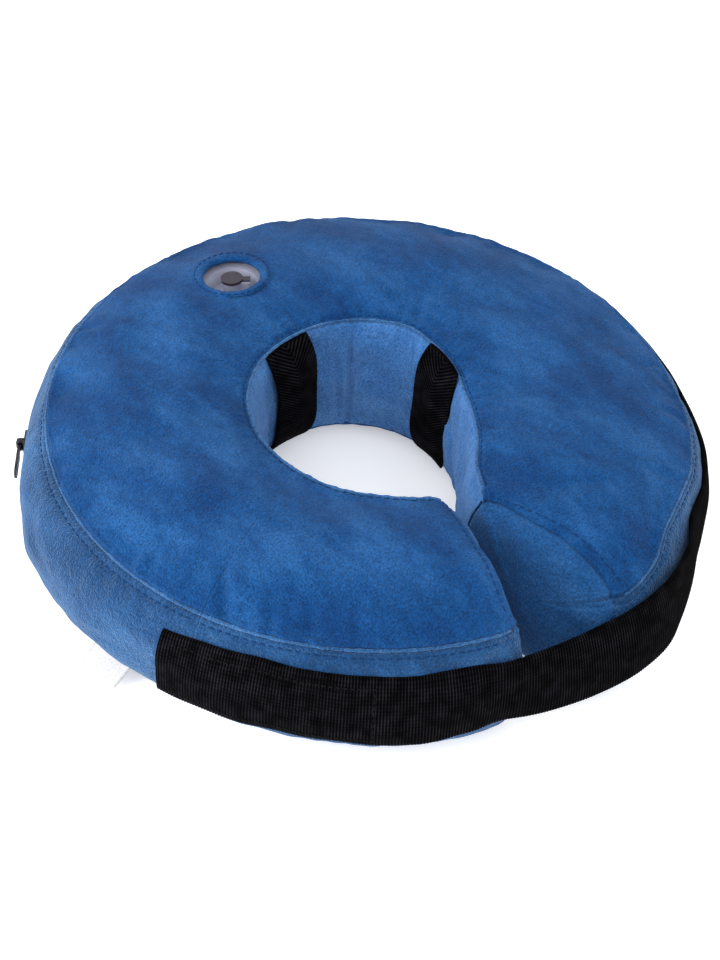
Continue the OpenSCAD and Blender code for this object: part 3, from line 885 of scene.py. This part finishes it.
# (azimuth, millimetres): the strap's radius where it is free of the wall, how far its lower edge
# flares out there, and how far it rides up or down
STRAP_FREE_R = ((-116, 178.4), (-104, 180.5), (-93, 183.5), (-85, 187), (-78, 188.5), (-72, 187),
                (-66, 184.8), (-58, 183))
STRAP_FLARE = ((-116, 0), (-102, 3.5), (-90, 5), (-80, 4.5), (-72, 2.5), (-62, 0.8), (-56, 0))
STRAP_RISE = ((-165, 1.2), (-150, 1.8), (-136, 1.0), (-120, 1.6), (-104, 0.2), (-90, -1.0), (-76, -0.8),
              (-60, -0.2), (-30, 0), (4, 0))
STRAP_FROM = -165.0
STRAP_TO = 4.0


def wall_radius(azimuth, z):
    """Radius of the outer wall, without its creases."""
    a = np.where(azimuth < RIGHT_END, azimuth + 360, azimuth)
    z0 = keyed(a, OUTER_TOP_Z)
    z1 = keyed(a, OUTER_LOW_Z)
    t = np.clip((z0 - z) / (z0 - z1), 0, 1)
    r0 = keyed(a, OUTER_TOP_R)
    r1 = keyed(a, OUTER_LOW_R)
    plain = r0 + (r1 - r0) * t + keyed(a, PUFF[OUTER]) * (1 - np.abs(2 * t - 1) ** POWER[OUTER])
    p = polar(plain, azimuth, z)
    return plain + 1.1 * ripple(p, 70, 11) + 0.55 * ripple(p, 30, 12)


def strap_point(azimuth, v, depth):
    """Place on the strap at v millimetres from its middle line and depth off the wall."""
    z = STRAP_Z + v + keyed(azimuth, STRAP_RISE)
    crown = 2.2 * (np.abs(v) / STRAP_HALF) ** 2.5
    free = keyed(azimuth, STRAP_FREE_R) - 2.3 - crown - keyed(azimuth, STRAP_FLARE) * v / STRAP_HALF
    away = inside(azimuth, -108, -68, 8)
    r = wall_radius(azimuth, z) * (1 - away) + free * away + depth
    return polar(r, azimuth, z)


def build_strap():
    rib = 1.5
    mean_r = 178.0
    length = math.radians(STRAP_TO - STRAP_FROM) * mean_r
    count = int(length / (rib / 4))
    run = np.linspace(0, length, count)
    azimuth = STRAP_TO - np.degrees(run / mean_r)
    across = np.linspace(-STRAP_HALF + 0.8, STRAP_HALF - 0.8, 20)
    edge = STRAP_HALF
    inset = edge - 0.25
    # Places round the strap's section: from its middle line, off the wall, and how much the ribs move it
    loop = [(v, 2.3, 1.0) for v in across]
    loop += [(inset, 2.0, 0.4), (edge, 1.3, 0.2), (inset, 0.6, 0.4)]
    loop += [(v, 0.3, -1.0) for v in across[::-1]]
    loop += [(-inset, 0.6, 0.4), (-edge, 1.3, 0.2), (-inset, 2.0, 0.4)]
    v = np.array([k[0] for k in loop])[None, :]
    depth = np.array([k[1] for k in loop])[None, :]
    ribs = np.array([k[2] for k in loop])[None, :]
    az = azimuth[:, None] + 0 * v
    weft = np.abs(np.sin(math.pi * run / rib))[:, None]
    wave = 0.32 * weft
    under = inside(v + 0 * az, -HOOK_HALF, HOOK_HALF, 0.5) * (depth < 0.5)
    tape = inside(az, HOOK_FROM, HOOK_TO, 0.2) * under
    scallop = 0.18 * weft * (np.abs(v) > edge - 1) * np.sign(v)
    points = strap_point(az, v + scallop, depth + ribs * wave + 0.85 * tape)
    obj = tube("strap_webbing", points)
    map_weave(obj, run[:, None] + 0 * v, v + 0 * az, ((0, 0), (length, 0)))
    finish_piece(obj, STRAP_WEB)
    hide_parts("strap_sewn", "strap_free")
    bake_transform(obj)
    strap_stitches("stitch_strap_sewn", -8.0, 2.6, 15.5, True, "right_arm")
    strap_stitches("stitch_strap_hook", HOOK_FROM + 0.9, HOOK_TO - 0.6, HOOK_HALF - 1.4, False, "strap")


def strap_stitches(name, low, high, half, cross, body):
    """A sewn box on the strap, with a cross in it where the strap is held to the wall."""
    box = ((low, -half), (high, -half), (high, half), (low, half), (low, -half))
    if cross:
        box = box + ((high, half), (high, -half), (low, half))
    places = np.array(box, float)
    count = np.arange(len(places))
    fine = np.linspace(0, len(places) - 1, 120 * len(places))
    azimuth = np.interp(fine, count, places[:, 0])
    v = np.interp(fine, count, places[:, 1])
    line = strap_point(azimuth, v, 2.55)
    obj = stitch_row(name, line, polar(1.0, azimuth, 0.0), 3.4, 2.5, BLACK_THREAD)
    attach(obj, body)


def band(name, low, high, half, near, deep, material, body, node, on_strap):
    """Thin tape that follows the wall or the strap."""
    azimuth = np.arange(low, high + 0.01, 0.6)
    v = np.linspace(-half, half, 21)
    az, vv = np.meshgrid(azimuth, v, indexing="ij")
    if on_strap:
        outer = strap_point(az, vv, near)
        inner = strap_point(az, vv, deep)
    else:
        outer = wall_on(az, vv, near)
        inner = wall_on(az, vv, deep)
    obj = shell(name, outer.reshape(-1, 3), inner.reshape(-1, 3), grid_faces(*az.shape)[:, ::-1])
    finish_piece(obj, material, body)
    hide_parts(node)


def wall_on(az, v, depth):
    z = STRAP_Z + v
    return polar(wall_radius(np.where(az > 180, az - 360, az), z) + depth, az, z)


def build_fastener():
    band("hook_tape_face", HOOK_FROM + 0.2, HOOK_TO - 0.2, HOOK_HALF - 0.3, 1.05, 0.3,
         HOOK, "strap", "hook_tape", True)
    band("loop_patch_face", PATCH_FROM + 0.3, PATCH_TO - 0.3, PATCH_HALF - 0.2, 0.05, -0.8,
         LOOP, "left_arm", "loop_patch", False)


# ---- Neck loops ----

def neck_loop(name, direction, reach, turn, top_z, body, node, seed):
    rows = 200
    u = np.linspace(-1, 1, rows)[:, None]
    half_w = 13.0
    thick = 1.5
    fan = 1 + 0.24 * smooth(u, -0.2, 1.0) - 0.10 * smooth(-u, 0.0, 1.0)
    edge = half_w - 0.3
    across = np.linspace(-edge, edge, 53)
    loop = [(w, thick / 2, 1.0) for w in across] + [(half_w, 0.0, 0.0)]
    loop += [(w, -thick / 2, -1.0) for w in across[::-1]] + [(-half_w, 0.0, 0.0)]
    w = np.array([k[0] for k in loop])[None, :] + 0 * u
    depth = np.array([k[1] for k in loop])[None, :] + 0 * u
    side = np.array([k[2] for k in loop])[None, :] + 0 * u
    low_z = 9.5
    height = (top_z + low_z) / 2 + (top_z - low_z) / 2 * u
    run = u * 42.0
    draw = np.random.default_rng(seed)
    lean = draw.uniform(-1.5, 1.5)
    slope = run - np.abs(w)
    herring = 0.26 * np.abs(np.sin(math.pi * slope / HERRING)) - 0.3 * bump(w, 0.5)
    d = math.radians(direction)
    out = np.array([math.cos(d), math.sin(d), 0])
    along = np.array([-math.sin(d), math.cos(d), 0])
    flat_x = reach + 0.012 * w * w * (1 - u * u) + turn * w * smooth(-u, -0.6, 0.7)
    flat = out * flat_x[..., None] + along * (w * fan + lean * (1 - u * u))[..., None]
    mean_r = 61.0
    az = direction + np.degrees(w * fan / mean_r)
    seam = np.where(u > 0, keyed(az, INNER_TOP_R), keyed(az, INNER_LOW_R)) - 0.9
    seam_at = polar(seam, az, 0 * az)
    share = (np.abs(u) ** 3.2)[..., None]
    middle = flat * (1 - share) + seam_at * share
    middle[..., 2] = height
    inward = -out
    points = middle + inward * (depth + side * herring)[..., None]
    obj = tube(name, points)
    map_weave(obj, slope - HERRING / 4, w, ((0, 0), (0, 0)))
    finish_piece(obj, NECK_WEB, body)
    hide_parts(node)


def build_neck_loops():
    neck_loop("neck_webbing_right", -4, 44.5, -0.25, 79.4, "right_arm", "neck_loop_right", 1)
    neck_loop("neck_webbing_back", 95, 47.0, 0.25, 79.4, "left_arm", "neck_loop_back", 2)
    neck_loop("neck_webbing_left", 184, 55.8, 0.0, 73.5, "left_arm", "neck_loop_left", 3)


# ---- Zip ----

def build_zip():
    for side, node in ((1, "zip_tape_upper"), (-1, "zip_tape_lower")):
        azimuth = np.arange(ZIP_FROM + 0.2, ZIP_TO - 0.1, 0.5)
        v = side * np.linspace(2.5, 8.2, 12)
        az, vv = np.meshgrid(azimuth, v, indexing="ij")
        z = ZIP_Z + vv
        cord = 0.45 * bump(np.abs(vv) - 3.0, 0.5)
        r = plain_wall(z) - 0.75
        faces = grid_faces(*az.shape)[:, ::side]
        obj = shell(node + "_cloth", polar(r + cord, az, z).reshape(-1, 3),
                    polar(r - 0.5, az, z).reshape(-1, 3), faces)
        finish_piece(obj, ZIP_TAPE, "left_arm")
        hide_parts(node)
    build_coil()
    for node in ("zip_stops", "zip_slider", "zip_pull"):
        repaint(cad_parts[node], METAL)


def plain_wall(z):
    """Radius of the outer wall where nothing varies along the ring, as it is behind the zip."""
    t = (SEAM_TOP_Z - z) / (SEAM_TOP_Z - SEAM_LOW_Z)
    return SEAM_R_OUT + WALL_PUFF * (1 - np.abs(2 * t - 1) ** POWER[OUTER])


def build_coil():
    """Two rows of coil teeth that mesh along the zip's middle line."""
    pitch = 1.6
    mean_r = 176.0
    wire = 0.42
    steps = 12
    around = 6
    loops = []
    for side in (1, -1):
        start = math.radians(ZIP_FROM + 1.5)
        end = math.radians(ZIP_TO - 1.5)
        turns = int((end - start) * mean_r / pitch)
        k = np.arange(turns * steps)
        angle = k / steps * math.tau
        azimuth = start + (k / steps + (0.5 if side > 0 else 0)) * pitch / mean_r
        z = ZIP_Z + side * (1.05 - 1.15 * np.cos(angle))
        r = mean_r - 0.75 + 0.5 * np.sin(angle)
        path = np.stack([r * np.cos(azimuth), r * np.sin(azimuth), z], axis=-1)
        way = np.gradient(path, axis=0)
        way /= np.linalg.norm(way, axis=-1, keepdims=True)
        out = np.stack([np.cos(azimuth), np.sin(azimuth), 0 * azimuth], axis=-1)
        first = np.cross(way, out)
        first /= np.linalg.norm(first, axis=-1, keepdims=True)
        second = np.cross(way, first)
        ring = [path + first * wire * math.cos(a) + second * wire * math.sin(a)
                for a in np.arange(around) * math.tau / around]
        loops.append(np.stack(ring, axis=1))
    for side, loop in zip(("upper", "lower"), loops):
        obj = tube("zip_coil_" + side, loop)
        finish_piece(obj, COIL, "left_arm")
        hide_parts("zip_coil")


def repaint(obj, material):
    obj.data.materials.clear()
    obj.data.materials.append(material)


# ---- Valve ----

def build_valve():
    centre, out, side, up = valve_frame()
    turn = np.linspace(0, math.tau, 121)[:-1]
    profile = ((15.6, -2.6), (15.4, -1.4), (15.9, -0.3), (16.9, 0.35), (18.2, 0.55), (19.6, 0.45),
               (20.7, 0.0), (20.9, -1.2), (18.6, -2.8))
    loops = []
    for a in turn:
        way = out * math.cos(a) + side * math.sin(a)
        wobble = 0.12 * math.sin(9 * a) + 0.1 * math.sin(23 * a + 1)
        loops.append([centre + way * (r + wobble) + up * h for r, h in profile])
    loops = np.array(loops)
    rows, columns = loops.shape[:2]
    i = np.arange(rows * columns).reshape(rows, columns)
    i = np.concatenate([i, i[:1]], axis=0)
    i = np.concatenate([i, i[:, :1]], axis=1)
    faces = np.stack([i[:-1, :-1], i[:-1, 1:], i[1:, 1:], i[1:, :-1]], axis=-1).reshape(-1, 4)[:, ::-1]
    obj = make("valve_binding_ring", loops.reshape(-1, 3), faces.tolist())
    finish_piece(obj, PLUSH, "left_arm")
    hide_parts("valve_binding")
    turn = np.arange(34) * math.tau / 34
    ways = np.array([side * math.cos(a) - out * math.sin(a) for a in turn])
    spots = np.array([centre + (out * math.cos(a) + side * math.sin(a)) * 20.2 + up * 0.55 for a in turn])
    obj = stitch_mesh("stitch_valve", spots, ways, np.repeat(up[None, :], len(turn), axis=0), 2.6, 0.32)
    finish_piece(obj, THREAD, "left_arm")
    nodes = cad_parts
    repaint(nodes["valve_disc"], PVC)
    repaint(nodes["valve_stem"], PVC)
    repaint(nodes["valve_flap"], FILM)
    repaint(nodes["valve_plug"], PLUG)


# ---- Care tag ----

def build_tag():
    """A small folded satin tag that leaves the lower outer seam and droops to the floor."""
    direction = math.radians(182)
    out = np.array([math.cos(direction), math.sin(direction), 0])
    side = np.array([-math.sin(direction), math.cos(direction), 0])
    shares = np.linspace(0, 1, 26)
    half_w = 13.0
    width = np.linspace(-half_w, half_w, 20)
    s, w = np.meshgrid(shares, width, indexing="ij")
    curl = 0.8 * np.sin(w / half_w * 2.2 + 0.6) * s
    reach = 168.3 + 14.0 * s - 1.2 * s * s
    height = 11.0 - 9.6 * s ** 0.9 + curl + 0.4
    front = out * reach[..., None] + side * (w * (1 - 0.02 * s))[..., None]
    front[..., 2] = np.maximum(height, 0.6)
    n = grid_normals(front)
    n = np.where(n[..., 2:] < 0, -n, n)
    back = front - n * 0.35
    back[..., 2] = np.maximum(back[..., 2], 0.2)
    faces = grid_faces(*s.shape)[:, ::-1]
    obj = shell("care_tag_cloth", front.reshape(-1, 3), back.reshape(-1, 3), faces)
    finish_piece(obj, TAG, "left_arm")
    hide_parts("care_tag")


# ---- Stage ----

def build_stage():
    bpy.context.scene.view_settings.view_transform = "Standard"
    mesh = bpy.data.meshes.new("floor")
    half = 6.0
    under = -0.0003
    corners = [(-half, -half, under), (half, -half, under), (half, half, under), (-half, half, under)]
    mesh.from_pydata(corners, [], [(0, 1, 2, 3)])
    floor = bpy.data.objects.new("floor", mesh)
    bpy.context.scene.collection.objects.link(floor)
    p = Paint("floor", (0.93, 0.93, 0.93), 0.9, Specular_IOR_Level=0.1, Emission_Strength=0.35)
    p.shader.inputs["Emission Color"].default_value = (1, 1, 1, 1)
    floor.data.materials.append(p.material)
    world = bpy.data.worlds.new("studio")
    world.use_nodes = True
    world.node_tree.nodes["Background"].inputs[0].default_value = (1.0, 1.0, 1.0, 1)
    world.node_tree.nodes["Background"].inputs[1].default_value = 1.2
    bpy.context.scene.world = world
    add_light("left", (-1.35, 0.60, 0.65), 1.2, 32)
    add_light("front", (-0.8, -1.2, 1.2), 1.4, 10)
    add_light("right", (1.3, -0.9, 0.9), 1.2, 6)


def add_light(name, where, size, power):
    data = bpy.data.lights.new(name, "AREA")
    data.size = size
    data.energy = power
    lamp = bpy.data.objects.new(name, data)
    lamp.location = where
    lamp.rotation_euler = (Vector((0, 0, 0.04)) - Vector(where)).to_track_quat("-Z", "Y").to_euler()
    bpy.context.scene.collection.objects.link(lamp)


def build_camera():
    """Camera in metres. The shift moves what it sees to the right and up, at the object's distance."""
    distance = 1.1
    elevation = math.radians(42.14)
    azimuth = math.radians(-135.0)
    roll = math.radians(4.06)
    focus = Vector((0, 0, 0.070))
    shift_right = -0.00284
    shift_up = -0.03555
    data = bpy.data.cameras.new("camera")
    data.sensor_width = 36
    data.lens = 79.3
    back = Vector((math.cos(elevation) * math.cos(azimuth), math.cos(elevation) * math.sin(azimuth),
                   math.sin(elevation)))
    right = Vector((0, 0, 1)).cross(back).normalized()
    up = back.cross(right)
    rolled_right = right * math.cos(roll) + up * math.sin(roll)
    rolled_up = up * math.cos(roll) - right * math.sin(roll)
    shift = rolled_right * shift_right + rolled_up * shift_up
    camera = bpy.data.objects.new("camera", data)
    stand = focus + back * distance
    behind = (stand - focus - shift).normalized()
    aside = rolled_up.cross(behind).normalized()
    turn = Matrix((aside, behind.cross(aside), behind)).transposed()
    camera.matrix_world = Matrix.Translation(stand) @ turn.to_4x4()
    bpy.context.scene.collection.objects.link(camera)
    bpy.context.scene.camera = camera


build_camera()
build_stage()
build_cover()
build_ends()
build_bladder()
build_ridges()
build_seam_stitches()
build_strap()
build_fastener()
build_neck_loops()
build_zip()
build_valve()
build_tag()
